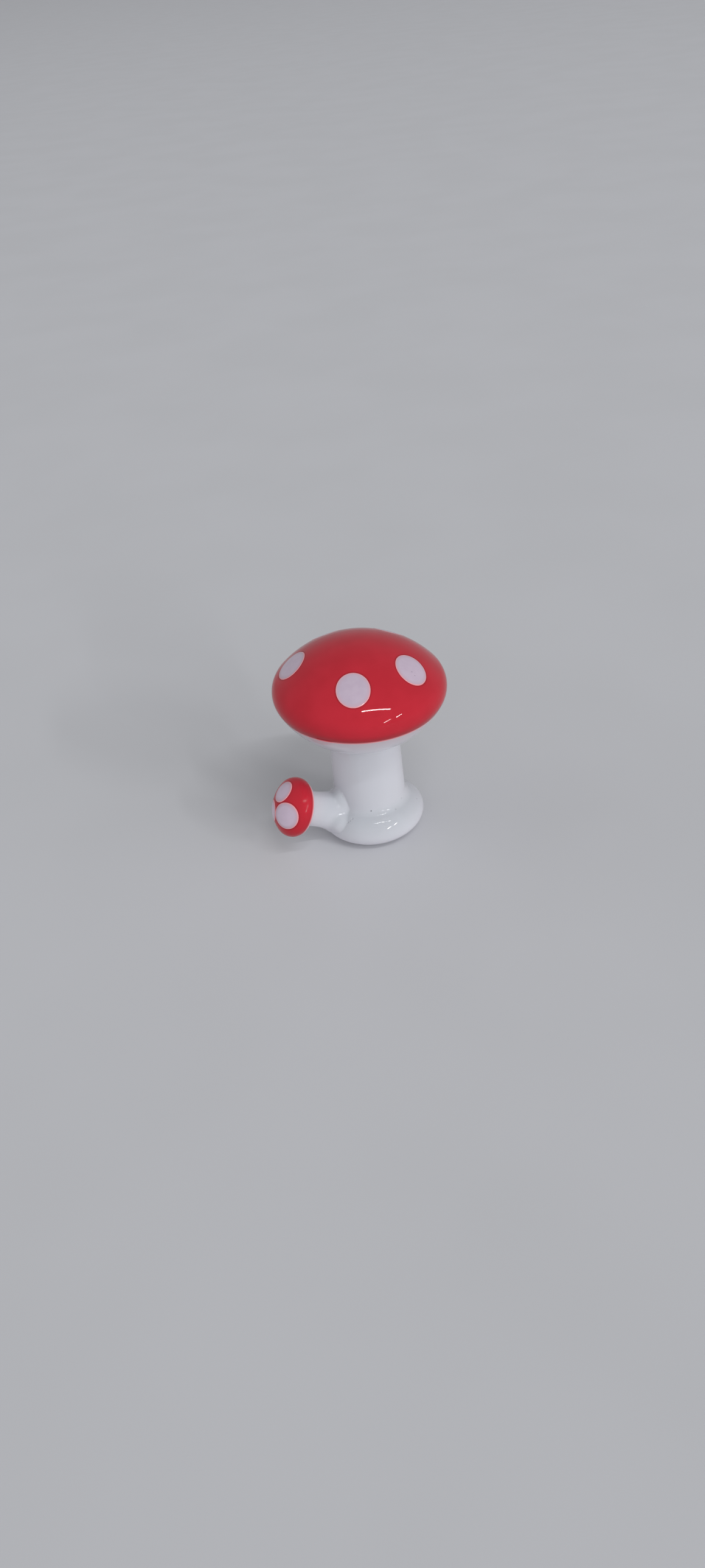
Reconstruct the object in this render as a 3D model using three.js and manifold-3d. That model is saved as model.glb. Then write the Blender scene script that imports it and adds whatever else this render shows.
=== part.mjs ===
// A small lampworked glass mushroom. A red cap with flush white dots sits on an opal white stem and
// foot, and a second, smaller mushroom (the sprout) is fused to its side.
// Millimetres and degrees, +Z up, origin at the middle of the flat that the foot rests on.
// Each gather of glass is a solid of its own, kept apart from its neighbours by the seam.

import * as THREE from 'three';
import { mergeVertices, toCreasedNormals } from 'three/addons/utils/BufferGeometryUtils.js';
import Module from 'manifold-3d';

const wasm = await Module();
wasm.setup();

// Seam between two gathers that are melted together
const SEAM = 0.06;

// Foot: a round gather with a small flat, whose shoulder runs on into the stem's flare
const FOOT_UNDERCUT = 2.8; // from the widest ring in to the edge of the flat
const FOOT_WIDEST = 1.75; // height of the widest ring
const FOOT_SHOULDER = 3.0; // reach of the shoulder's ellipse in from the widest ring
const FOOT_CROWN = 2.22; // rise of the shoulder's ellipse above the widest ring
const FOOT_SEAT = 54.5; // turn on that ellipse, from the widest ring up, where the stem stands

// Stem: an opal rod that thins towards the cap
const STEM_BASE_RADIUS = 3.72;
const STEM_TOP_RADIUS = 3.33;
const STEM_FLARE = 0.62; // hollow round where it spreads onto the foot
const STEM_NECK = 0.6; // hollow round where it spreads under the cap

// Cap: a white core cased in red down to just past its rim, set on the stem with a slight lean
const CAP_DIAMETER = 16.8;
const CAP_RING_HEIGHT = 16.4; // height of the widest ring
const CAP_TILT = 2; // lean of the cap's axis towards +X
const CAP_RISE = 4.87; // from the widest ring up to the top of the dome
const CAP_DROP = 5.94; // from the widest ring down to the lowest point of the underside's arc
const CAP_RIM_ROUND = 2.05;
const CAP_RED_ANGLE = 29.5; // slope of the surface, below level, where the red ends
const CAP_RED_WALL = 0.8;
const CAP_DOT_RADIUS = 1.68;
const CAP_DOT_DEPTH = 0.4;
const CAP_DOT_PROUD = 0.02;
// Each dot is set by eye: its turn round the cap from +X, and its slope away from the top of the dome
const CAP_DOTS = [
  { turn: -98, slope: 32.6 },
  { turn: -34, slope: 32.2 },
  { turn: 54, slope: 33.5 },
  { turn: 117, slope: 34 },
  { turn: 178.5, slope: 36.3 },
];

// Sprout: its axis leaves the stem's axis low in the foot and leans out to the left and the front
const SPROUT_ROOT_HEIGHT = 0.89; // where the two axes cross
const SPROUT_TURN = 203; // direction from above, from +X
const SPROUT_LIFT = 28.5; // rise above level
const SPROUT_BULB_RADIUS = 2.55; // the swollen root that sits on the foot and the stem
const SPROUT_BULB_OUT = 0.18; // along the axis, from the big stem's radius out to the bulb's widest ring
const SPROUT_BULB_ROUND = 1.4; // length of the bulb's rounded inner end
const SPROUT_TAPER = 3.3; // length over which the bulb draws in to the stem
const SPROUT_PINCH = 0.85; // share of the bulb's swelling that is pressed away at its two sides
const SPROUT_SWELL = 0.24; // share of the taper that holds to the bulb's width
const SPROUT_EASE = 0.58; // share of the taper that eases into the stem's width
const SPROUT_STEM_RADIUS = 1.77;
const SPROUT_LENGTH = 5.67; // from the bulb's widest ring to the cap's
const SPROUT_PAD_TURN = 210; // the root's glass creeps up the big stem as a long pad
const SPROUT_PAD_SET = 0.42; // from the big stem's side in to the pad's own axis
const SPROUT_PAD_RADIUS = 1.4;
const SPROUT_PAD_MIDDLE = 3.4; // height of the pad's widest ring
const SPROUT_PAD_RISE = 2.7;
const SPROUT_CAP_DIAMETER = 5.96;
const SPROUT_CAP_RISE = 1.87;
const SPROUT_CAP_DROP = 1.6;
const SPROUT_RIM_ROUND = 1.1;
const SPROUT_RED_ANGLE = 33;
const SPROUT_RED_WALL = 0.5;
const SPROUT_DOT_DEPTH = 0.28;
const SPROUT_DOT_PROUD = 0.04;
const SPROUT_DOT_SLOPE = 24;
const SPROUT_DOT_TURN = 78; // of the first dot, from the underside of the leaning axis
const SPROUT_DOT_RADII = [1.38, 1.12, 1.08]; // three dots crowd round the tip

// Facets
const CAP_SIDES = 40;
const STEM_SIDES = 36;
const SPROUT_SIDES = 26;
const DOT_SIDES = 22;
const ARC_STEP = 1.05; // length of outline between two points of a round
const SMALL_ARC_STEP = 0.55;
const WELD = 1e-4;
const CREASE = 35;

const OPAL_GLASS = new THREE.MeshStandardMaterial({ color: 0xdde1e7, roughness: 0.1, metalness: 0 });
const RED_GLASS = new THREE.MeshStandardMaterial({ color: 0xb3262f, roughness: 0.06, metalness: 0 });
const DOT_GLASS = new THREE.MeshStandardMaterial({ color: 0xd8cfdc, roughness: 0.1, metalness: 0 });

const radians = THREE.MathUtils.degToRad;
const degrees = THREE.MathUtils.radToDeg;
const point = (radius, height) => new THREE.Vector2(radius, height);

// Points along an arc of an ellipse in the plane of a turned outline, in the order of its angles
function arc(centre, across, along, from, to, step) {
  const length = radians(Math.abs(to - from)) * Math.max(across, along);
  const count = Math.max(3, Math.ceil(length / step));
  const curve = new THREE.EllipseCurve(
    centre.x, centre.y, across, along, radians(from), radians(to), to < from,
  );
  return curve.getPoints(count);
}

// A closed solid from a geometry
function solidOf(geometry) {
  geometry.deleteAttribute('normal');
  geometry.deleteAttribute('uv');
  const welded = mergeVertices(geometry, WELD);
  return new wasm.Manifold(new wasm.Mesh({
    numProp: 3,
    vertProperties: welded.attributes.position.array,
    triVerts: new Uint32Array(welded.index.array),
  }));
}

// An outline that starts and ends on the axis, turned round +Z
function turned(outline, sides) {
  return new THREE.LatheGeometry(outline, sides).rotateX(Math.PI / 2);
}

// A named piece of glass
function piece(name, solid, material) {
  const { vertProperties, triVerts } = solid.getMesh();
  const geometry = new THREE.BufferGeometry();
  geometry.setAttribute('position', new THREE.BufferAttribute(vertProperties, 3));
  geometry.setIndex(new THREE.BufferAttribute(triVerts, 1));
  const mesh = new THREE.Mesh(toCreasedNormals(geometry, radians(CREASE)), material);
  mesh.name = name;
  return mesh;
}

// Caps

const bigCap = {
  radius: CAP_DIAMETER / 2,
  rise: CAP_RISE,
  drop: CAP_DROP,
  rim: CAP_RIM_ROUND,
  redEdge: CAP_RED_ANGLE,
  wall: CAP_RED_WALL,
  dotDepth: CAP_DOT_DEPTH,
  dotProud: CAP_DOT_PROUD,
  dots: CAP_DOTS.map((dot) => ({ ...dot, radius: CAP_DOT_RADIUS })),
  sides: CAP_SIDES,
  step: ARC_STEP,
};

const sproutCap = {
  radius: SPROUT_CAP_DIAMETER / 2,
  rise: SPROUT_CAP_RISE,
  drop: SPROUT_CAP_DROP,
  rim: SPROUT_RIM_ROUND,
  redEdge: SPROUT_RED_ANGLE,
  wall: SPROUT_RED_WALL,
  dotDepth: SPROUT_DOT_DEPTH,
  dotProud: SPROUT_DOT_PROUD,
  dots: SPROUT_DOT_RADII.map((radius, i) => ({
    turn: SPROUT_DOT_TURN + (i * 360) / SPROUT_DOT_RADII.length,
    slope: SPROUT_DOT_SLOPE,
    radius,
  })),
  sides: SPROUT_SIDES,
  step: SMALL_ARC_STEP,
};

// The underside, rim and dome of a cap as three arcs that meet smoothly, with the widest ring at
// height 0. Their angles are the surface's slope: -90 under the axis, 0 at the ring, 90 at the top.
function capArcs(cap) {
  const inner = cap.radius - cap.rim;
  const radiusFor = (height) => (inner ** 2 + height ** 2 - cap.rim ** 2) / (2 * (height - cap.rim));
  const under = radiusFor(cap.drop);
  const dome = radiusFor(cap.rise);
  const underTurn = -degrees(Math.atan2(under - cap.drop, inner));
  const domeTurn = degrees(Math.atan2(dome - cap.rise, inner));
  return [
    { centre: point(0, under - cap.drop), radius: under, from: -90, to: underTurn },
    { centre: point(inner, 0), radius: cap.rim, from: underTurn, to: domeTurn },
    { centre: point(0, cap.rise - dome), radius: dome, from: domeTurn, to: 90 },
  ];
}

// A cap's outline between two slopes, from below upwards, moved outwards by an offset
function capOutline(cap, offset, from, to) {
  const outline = [];
  for (const part of capArcs(cap)) {
    const low = Math.max(from, part.from);
    const high = Math.min(to, part.to);
    if (low < high) {
      const radius = part.radius + offset;
      const points = arc(part.centre, radius, radius, low, high, cap.step);
      outline.push(...points.slice(outline.length ? 1 : 0));
    }
  }
  return outline;
}

// The whole cap as one body, moved outwards by an offset
function capBody(cap, offset) {
  return turned(capOutline(cap, offset, -90, 90), cap.sides);
}

// A plug at a dot's place, longer than the dot at both ends. It narrows towards the middle of the
// dome's ball, so its side is square to the dome all round.
function dotPlug(cap, dot, radius) {
  const dome = capArcs(cap).at(-1);
  const low = dome.radius - cap.wall - radius;
  const high = dome.radius + radius;
  const widthAt = (height) => (radius * height) / dome.radius;
  const outline = [point(0, low), point(widthAt(low), low), point(widthAt(high), high), point(0, high)];
  const plug = turned(outline, DOT_SIDES).rotateY(radians(dot.slope)).rotateZ(radians(dot.turn));
  return solidOf(plug.translate(0, 0, dome.centre.y));
}

// A dot fills its pocket up to the dome, and may stand a little proud of it
function capDot(cap, dot) {
  const outside = solidOf(capBody(cap, cap.dotProud));
  const inside = solidOf(capBody(cap, -cap.dotDepth));
  return dotPlug(cap, dot, dot.radius).intersect(outside).subtract(inside);
}

// The red casing, with a pocket for each dot
function capCasing(cap) {
  const inside = capOutline(cap, -cap.wall, -cap.redEdge, 90).reverse();
  const outside = capOutline(cap, 0, -cap.redEdge, 90);
  const floor = solidOf(capBody(cap, -cap.dotDepth - SEAM));
  let casing = solidOf(turned([...inside, ...outside], cap.sides));
  for (const dot of cap.dots) {
    casing = casing.subtract(dotPlug(cap, dot, dot.radius + SEAM).subtract(floor));
  }
  return casing;
}

// The white core: flush with the red along the underside, and set in by the red's wall above that
function capCore(cap) {
  const edgeArc = capArcs(cap).find((part) => part.to > -cap.redEdge);
  const seamTurn = degrees(SEAM / (edgeArc.radius - cap.wall - SEAM));
  const shoulder = -cap.redEdge - seamTurn;
  const underside = capOutline(cap, 0, -90, shoulder);
  const dome = capOutline(cap, -cap.wall - SEAM, shoulder, 90);
  return solidOf(turned([...underside, ...dome], cap.sides));
}

// A cap's pieces in a group whose origin is the middle of the widest ring
function capGroup(cap, title) {
  const group = new THREE.Group();
  group.add(piece(`${title}_core`, capCore(cap), OPAL_GLASS));
  group.add(piece(`${title}_casing`, capCasing(cap), RED_GLASS));
  cap.dots.forEach((dot, i) => {
    group.add(piece(`${title}_dot_${i + 1}`, capDot(cap, dot), DOT_GLASS));
  });
  return group;
}

// Foot and stem

// Slope of the shoulder at the seat, where the stem's flare takes over
const seatSlope = degrees(
  Math.atan2(FOOT_SHOULDER * Math.sin(radians(FOOT_SEAT)), FOOT_CROWN * Math.cos(radians(FOOT_SEAT))),
);
const seatRadius = STEM_BASE_RADIUS + STEM_FLARE * (1 - Math.cos(radians(seatSlope)));
const seatHeight = FOOT_WIDEST + FOOT_CROWN * Math.sin(radians(FOOT_SEAT));
const shoulderMiddle = seatRadius - FOOT_SHOULDER * Math.cos(radians(FOOT_SEAT));
const flatRadius = shoulderMiddle + FOOT_SHOULDER - FOOT_UNDERCUT;

// The foot's outline from the flat up to the seat, moved outwards by an offset
function footCurve(offset) {
  const low = point(flatRadius, FOOT_WIDEST);
  const high = point(shoulderMiddle, FOOT_WIDEST);
  return [
    ...arc(low, FOOT_UNDERCUT + offset, FOOT_WIDEST + offset, -90, 0, ARC_STEP),
    ...arc(high, FOOT_SHOULDER + offset, FOOT_CROWN + offset, 0, FOOT_SEAT, ARC_STEP).slice(1),
  ];
}

// The stem's outline from the seat up to the cap's underside, moved outwards by an offset. The neck's
// round ends inside the cap, where it runs level with the underside, so the cap's cut crosses it cleanly.
function stemCurve(offset) {
  const under = capArcs(bigCap)[0];
  const neckRadius = STEM_TOP_RADIUS + STEM_NECK;
  const underside = CAP_RING_HEIGHT + under.centre.y - Math.sqrt(under.radius ** 2 - neckRadius ** 2);
  const neckEnd = 90 + degrees(Math.asin(neckRadius / under.radius));
  const flareMiddle = point(
    STEM_BASE_RADIUS + STEM_FLARE, seatHeight + STEM_FLARE * Math.sin(radians(seatSlope)),
  );
  const flare = STEM_FLARE - offset;
  const neck = STEM_NECK - offset;
  return [
    ...arc(flareMiddle, flare, flare, 180 + seatSlope, 180, SMALL_ARC_STEP),
    ...arc(point(neckRadius, underside - STEM_NECK), neck, neck, 180, neckEnd, SMALL_ARC_STEP),
  ];
}

function foot() {
  return solidOf(turned([point(0, 0), ...footCurve(0), point(0, seatHeight)], STEM_SIDES));
}

// The stem stands on the foot's flat seat, and its top is dished to the cap's underside
function stem() {
  const curve = stemCurve(0);
  const inCap = [point(curve.at(-1).x, CAP_RING_HEIGHT), point(0, CAP_RING_HEIGHT)];
  const rod = solidOf(turned([point(0, seatHeight), ...curve, ...inCap], STEM_SIDES));
  const capWithSeam = capBody(bigCap, SEAM).rotateY(radians(CAP_TILT)).translate(0, 0, CAP_RING_HEIGHT);
  return rod.subtract(solidOf(capWithSeam));
}

// Foot and stem as one body with the seam round them
function bodyWithSeam() {
  const curve = [...footCurve(SEAM), ...stemCurve(SEAM)];
  return turned([point(0, -SEAM), ...curve, point(0, curve.at(-1).y)], STEM_SIDES);
}

// Sprout

const bulbReach = STEM_BASE_RADIUS + SPROUT_BULB_OUT;
const sproutReach = bulbReach + SPROUT_LENGTH;

// Presses a swollen rod back towards the stem's radius at its two sides
function pinched(rod) {
  const { position } = rod.attributes;
  for (let i = 0; i < position.count; i += 1) {
    const radius = Math.hypot(position.getX(i), position.getY(i));
    const swelling = Math.max(0, radius - SPROUT_STEM_RADIUS);
    if (swelling > 0) {
      position.setY(i, position.getY(i) * (1 - (SPROUT_PINCH * swelling) / radius));
    }
  }
  return rod;
}

// The pad of glass that climbs the big stem above the root
function sproutPad() {
  const outline = arc(
    point(0, SPROUT_PAD_MIDDLE), SPROUT_PAD_RADIUS, SPROUT_PAD_RISE, -90, 90, SMALL_ARC_STEP,
  );
  const pad = turned(outline, SPROUT_SIDES).translate(STEM_BASE_RADIUS - SPROUT_PAD_SET, 0, 0);
  return pad.rotateZ(radians(SPROUT_PAD_TURN));
}

// The sprout's stem swells to a bulb whose inner end is shaped to the foot and the stem
function sproutStem(placement) {
  const bulb = arc(
    point(0, bulbReach), SPROUT_BULB_RADIUS, SPROUT_BULB_ROUND, -90, 0, SMALL_ARC_STEP,
  );
  const taperEnd = bulbReach + SPROUT_TAPER;
  const taper = new THREE.CubicBezierCurve(
    point(SPROUT_BULB_RADIUS, bulbReach),
    point(SPROUT_BULB_RADIUS, bulbReach + SPROUT_TAPER * SPROUT_SWELL),
    point(SPROUT_STEM_RADIUS, taperEnd - SPROUT_TAPER * SPROUT_EASE),
    point(SPROUT_STEM_RADIUS, taperEnd),
  );
  const bends = Math.ceil(SPROUT_TAPER / SMALL_ARC_STEP);
  const inCap = [point(SPROUT_STEM_RADIUS, sproutReach), point(0, sproutReach)];
  const outline = [...bulb, ...taper.getPoints(bends).slice(1), ...inCap];
  const rod = solidOf(pinched(turned(outline, SPROUT_SIDES)));
  const toSprout = placement.clone().invert();
  const pad = solidOf(sproutPad().applyMatrix4(toSprout));
  const body = solidOf(bodyWithSeam().applyMatrix4(toSprout));
  const capWithSeam = solidOf(capBody(sproutCap, SEAM).translate(0, 0, sproutReach));
  return rod.add(pad).subtract(body).subtract(capWithSeam);
}

// The sprout in a group turned so that +Z runs along its axis
function sproutGroup() {
  const group = new THREE.Group();
  group.position.z = SPROUT_ROOT_HEIGHT;
  group.rotation.set(0, radians(90 - SPROUT_LIFT), radians(SPROUT_TURN), 'ZYX');
  group.updateMatrix();
  group.add(piece('sprout_stem', sproutStem(group.matrix), OPAL_GLASS));
  const cap = capGroup(sproutCap, 'sprout_cap');
  cap.position.z = sproutReach;
  group.add(cap);
  return group;
}

const mushroom = new THREE.Group();
mushroom.add(piece('foot', foot(), OPAL_GLASS));
mushroom.add(piece('stem', stem(), OPAL_GLASS));
const cap = capGroup(bigCap, 'cap');
cap.position.z = CAP_RING_HEIGHT;
cap.rotation.y = radians(CAP_TILT);
mushroom.add(cap);
mushroom.add(sproutGroup());

export default mushroom;
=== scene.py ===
"""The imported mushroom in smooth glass: turned gathers, a melted root and soft light.

Shapes are modelled in millimetres and degrees and settled into the frame in metres, +Z up. The
studio is in metres.
"""

from __future__ import annotations

import logging
import math
from dataclasses import dataclass, field
from enum import Enum
from itertools import pairwise
from typing import Any, Iterable, Sequence

import bpy
from mathutils import Matrix, Vector
from mathutils.bvhtree import BVHTree
from mathutils.interpolate import poly_3d_calc


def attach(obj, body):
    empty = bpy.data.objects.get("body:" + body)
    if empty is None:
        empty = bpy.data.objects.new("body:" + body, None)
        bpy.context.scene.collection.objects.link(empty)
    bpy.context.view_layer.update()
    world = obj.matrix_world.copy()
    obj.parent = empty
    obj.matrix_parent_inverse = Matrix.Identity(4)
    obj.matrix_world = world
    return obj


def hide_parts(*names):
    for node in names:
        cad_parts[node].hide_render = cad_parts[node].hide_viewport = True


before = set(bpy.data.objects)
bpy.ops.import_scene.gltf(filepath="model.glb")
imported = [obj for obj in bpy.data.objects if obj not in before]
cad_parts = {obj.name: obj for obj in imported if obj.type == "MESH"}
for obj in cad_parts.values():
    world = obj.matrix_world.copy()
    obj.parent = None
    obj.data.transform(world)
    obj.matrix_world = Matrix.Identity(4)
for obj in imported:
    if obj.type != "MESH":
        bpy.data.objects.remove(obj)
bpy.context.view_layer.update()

Point = tuple[float, float]
Triple = tuple[float, float, float]
Colour = tuple[float, float, float]
Piece = bpy.types.Object
Mesh = bpy.types.Mesh
Material = bpy.types.Material
Node = bpy.types.Node
Socket = bpy.types.NodeSocket
Tree = bpy.types.NodeTree

MM = 0.001
BODY = "root"
INSET = "inset"
GLASS = "_glass"
UP = Vector((0, 0, 1))
MERGE_GAP = 1e-4
RELAX = 0.5
CREASE = 35.0
TOOL_SIDES = 96
FEWEST_STEPS = 3
log = logging.getLogger("mushroom")


class Slot(Enum):
    """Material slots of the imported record."""

    OPAL = "opal_glass"
    RED = "red_glass"
    DOT = "dot_glass"


class Cut(Enum):
    """How one solid changes another."""

    REMOVE = "DIFFERENCE"
    JOIN = "UNION"


# Modelling by operators


def deselect() -> None:
    """Leaves edit mode and deselects every object."""
    if bpy.context.object and bpy.context.object.mode != "OBJECT":
        bpy.ops.object.mode_set(mode="OBJECT")
    bpy.ops.object.select_all(action="DESELECT")


def pick(piece: Piece) -> None:
    """Makes one object the selected and active one.

    Args:
        piece: The object.
    """
    deselect()
    piece.select_set(True)
    bpy.context.view_layer.objects.active = piece


def close_mesh(name: str) -> Piece:
    """Merges the doubles of the mesh in edit mode, turns its faces outwards and names the object.

    Args:
        name: The object's new name.

    Returns:
        The object, back in object mode.
    """
    bpy.ops.mesh.select_all(action="SELECT")
    bpy.ops.mesh.remove_doubles(threshold=MERGE_GAP)
    bpy.ops.mesh.normals_make_consistent(inside=False)
    bpy.ops.object.mode_set(mode="OBJECT")
    piece = bpy.context.object
    piece.name = piece.data.name = name
    return piece


def turned(name: str, outline: Sequence[Point], sides: int) -> Piece:
    """Spins an outline that starts and ends on the axis into a closed gather.

    Args:
        name: The object's name.
        outline: Radius and height of each point.
        sides: Faces round the axis.

    Returns:
        The turned object, in millimetres round +Z.
    """
    deselect()
    bpy.ops.mesh.primitive_plane_add(size=1.0, enter_editmode=True)
    bpy.ops.mesh.merge(type="CENTER")
    radius, height = outline[0]
    bpy.ops.transform.translate(value=(radius, 0.0, height))
    for (radius, height), (to_radius, to_height) in pairwise(outline):
        step = (to_radius - radius, 0.0, to_height - height)
        bpy.ops.mesh.extrude_vertices_move(TRANSFORM_OT_translate={"value": step})
    bpy.ops.mesh.select_all(action="SELECT")
    bpy.ops.mesh.spin(steps=sides, angle=math.tau, center=(0, 0, 0), axis=(0, 0, 1))
    return close_mesh(name)


def lofted(name: str, rings: Sequence[Triple], sides: int) -> Piece:
    """Draws a rod up +Z through oval rings.

    Args:
        name: The object's name.
        rings: Height, half width along X and half width along Y of each ring.
        sides: Faces round the axis.

    Returns:
        The closed rod, in millimetres.
    """
    deselect()
    height, wide, deep = rings[0]
    bpy.ops.mesh.primitive_circle_add(
        vertices=sides, radius=1.0, fill_type="NGON", enter_editmode=True, location=(0, 0, 0)
    )
    bpy.ops.transform.resize(value=(wide, deep, 1.0), center_override=(0, 0, 0))
    bpy.ops.transform.translate(value=(0.0, 0.0, height))
    for (low, wide, deep), (high, to_wide, to_deep) in pairwise(rings):
        bpy.ops.mesh.extrude_region_move(TRANSFORM_OT_translate={"value": (0, 0, high - low)})
        bpy.ops.transform.resize(
            value=(to_wide / wide, to_deep / deep, 1.0), center_override=(0, 0, high)
        )
    return close_mesh(name)


def cut(piece: Piece, tool: Piece, way: Cut) -> None:
    """Applies a boolean with a tool and throws the tool away.

    Args:
        piece: The solid that is changed.
        tool: The solid that cuts it or is joined to it.
        way: Whether the tool is removed or joined.
    """
    pick(piece)
    modifier = piece.modifiers.new("cut", "BOOLEAN")
    modifier.operation = way.value
    modifier.solver = "EXACT"
    modifier.object = tool
    bpy.ops.object.modifier_apply(modifier=modifier.name)
    bpy.data.objects.remove(tool, do_unlink=True)


def relax(piece: Piece, passes: int, group: str = "") -> None:
    """Evens out a surface, as a flame does.

    Args:
        piece: The piece.
        passes: How often the surface is relaxed.
        group: Vertex group that says where, or nothing for everywhere.
    """
    pick(piece)
    modifier = piece.modifiers.new("relax", "SMOOTH")
    modifier.factor, modifier.iterations, modifier.vertex_group = RELAX, passes, group
    bpy.ops.object.modifier_apply(modifier=modifier.name)


def melt(piece: Piece, grain: float, passes: int) -> None:
    """Remeshes a piece evenly and relaxes it.

    Args:
        piece: The piece.
        grain: Size of the new faces.
        passes: How often the surface is relaxed.
    """
    pick(piece)
    remesh = piece.modifiers.new("remesh", "REMESH")
    remesh.mode, remesh.voxel_size = "VOXEL", grain
    bpy.ops.object.modifier_apply(modifier=remesh.name)
    relax(piece, passes)


def place(piece: Piece, placement: Matrix) -> None:
    """Moves a piece and applies the move to its mesh.

    Args:
        piece: The piece.
        placement: Where it goes.
    """
    pick(piece)
    piece.matrix_world = placement
    bpy.ops.object.transform_apply(location=True, rotation=True, scale=True)


def copied(piece: Piece, name: str) -> Piece:
    """Duplicates a piece with a mesh of its own.

    Args:
        piece: The model.
        name: The copy's name.

    Returns:
        The copy.
    """
    pick(piece)
    bpy.ops.object.duplicate(linked=False)
    copy = bpy.context.object
    copy.name = copy.data.name = name
    return copy


def settle(piece: Piece, finish: Material, crease: float = CREASE) -> None:
    """Brings a piece to metres, smooths and dresses it, and lets it stand for its CAD node.

    Args:
        piece: The piece, named after its node with GLASS at the end.
        finish: Its material.
        crease: Edges sharper than this many degrees stay sharp.
    """
    place(piece, Matrix.Scale(MM, 4))
    bpy.ops.object.shade_smooth_by_angle(angle=math.radians(crease))
    piece.data.materials.clear()
    piece.data.materials.append(finish)
    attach(piece, BODY)
    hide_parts(piece.name.removesuffix(GLASS))
    log.info("%s: %d faces", piece.name, len(piece.data.polygons))


def arc(
    centre: Point, across: float, along: float, start: float, end: float, step: float
) -> list[Point]:
    """Points on an arc of an ellipse.

    Args:
        centre: Its middle, as radius and height.
        across: Half axis along the radius.
        along: Half axis along the height.
        start: First angle in degrees.
        end: Last angle in degrees.
        step: Longest distance between points.

    Returns:
        The points, with both ends.
    """
    length = math.radians(abs(end - start)) * max(across, along)
    count = max(FEWEST_STEPS, math.ceil(length / step))
    angles = (math.radians(start + (end - start) * i / count) for i in range(count + 1))
    return [(centre[0] + across * math.cos(a), centre[1] + along * math.sin(a)) for a in angles]


def smooth(value: float, low: float, high: float) -> float:
    """Share that eases from 0 at the low value to 1 at the high one."""
    share = min(1.0, max(0.0, (value - low) / (high - low)))
    return share * share * (3.0 - 2.0 * share)


def bezier(a: Point, b: Point, c: Point, d: Point, count: int) -> list[Point]:
    """Points on a cubic curve.

    Args:
        a: Start.
        b: First handle.
        c: Second handle.
        d: End.
        count: Number of steps.

    Returns:
        The points, with both ends.
    """
    points = []
    for i in range(count + 1):
        t = i / count
        u = 1.0 - t
        share = (u**3, 3 * u * u * t, 3 * u * t * t, t**3)
        points.append(tuple(sum(s * p[k] for s, p in zip(share, (a, b, c, d))) for k in (0, 1)))
    return points


# Shader wiring and shared effects


class Board:
    """Adds nodes to a tree and joins them as they are added."""

    def __init__(self, tree: Tree) -> None:
        """Keeps the tree and clears it."""
        self.tree = tree
        tree.nodes.clear()

    def add(self, kind: str, inputs: dict[Any, Any] | None = None, **settings: Any) -> Node:
        """Adds a node.

        Args:
            kind: Its type without the ShaderNode prefix.
            inputs: Value or feeding socket of each input, by name or place.
            **settings: Properties of the node.

        Returns:
            The node.
        """
        node = self.tree.nodes.new(f"ShaderNode{kind}")
        for key, value in settings.items():
            setattr(node, key, value)
        for key, value in (inputs or {}).items():
            if isinstance(value, Socket):
                self.tree.links.new(value, node.inputs[key])
            else:
                node.inputs[key].default_value = value
        return node

    def maths(self, way: str, a: Any, b: Any, c: float = 0.0, clamp: bool = False) -> Socket:
        """Puts out one sum of two or three numbers."""
        return self.add("Math", {0: a, 1: b, 2: c}, operation=way, use_clamp=clamp).outputs[0]

    def fade(self, value: Any, low: float, high: float) -> Socket:
        """Puts out 0 at low and 1 at high, with a soft step between them."""
        inputs = {"Value": value, "From Min": low, "From Max": high}
        return self.add("MapRange", inputs, interpolation_type="SMOOTHSTEP").outputs[0]

    def tint(self, share: Any, base: Any, other: Any) -> Socket:
        """Mixes a second colour into a first by a share."""
        solid = [c if isinstance(c, Socket) else (*c, 1.0) for c in (base, other)]
        return self.add("Mix", {0: share, 6: solid[0], 7: solid[1]}, data_type="RGBA").outputs[2]

    def group(self, tree: Tree, **inputs: Any) -> Node:
        """Places a shared effect with its own values."""
        return self.add("Group", inputs, node_tree=tree)


def effect(
    name: str, inputs: Iterable[tuple[str, str]], outputs: Iterable[str]
) -> tuple[Tree, Board, Node, Node]:
    """Starts a shared effect.

    Args:
        name: The group's name.
        inputs: Name and kind of each input.
        outputs: Names of the values that it puts out.

    Returns:
        The group, a board on it, and its input and output nodes.
    """
    tree = bpy.data.node_groups.new(name, "ShaderNodeTree")
    board = Board(tree)
    for title, kind in inputs:
        tree.interface.new_socket(title, in_out="INPUT", socket_type=f"NodeSocket{kind}")
    for title in outputs:
        tree.interface.new_socket(title, in_out="OUTPUT", socket_type="NodeSocketFloat")
    entry = tree.nodes.new("NodeGroupInput")
    leave = tree.nodes.new("NodeGroupOutput")
    return tree, board, entry, leave


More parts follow.
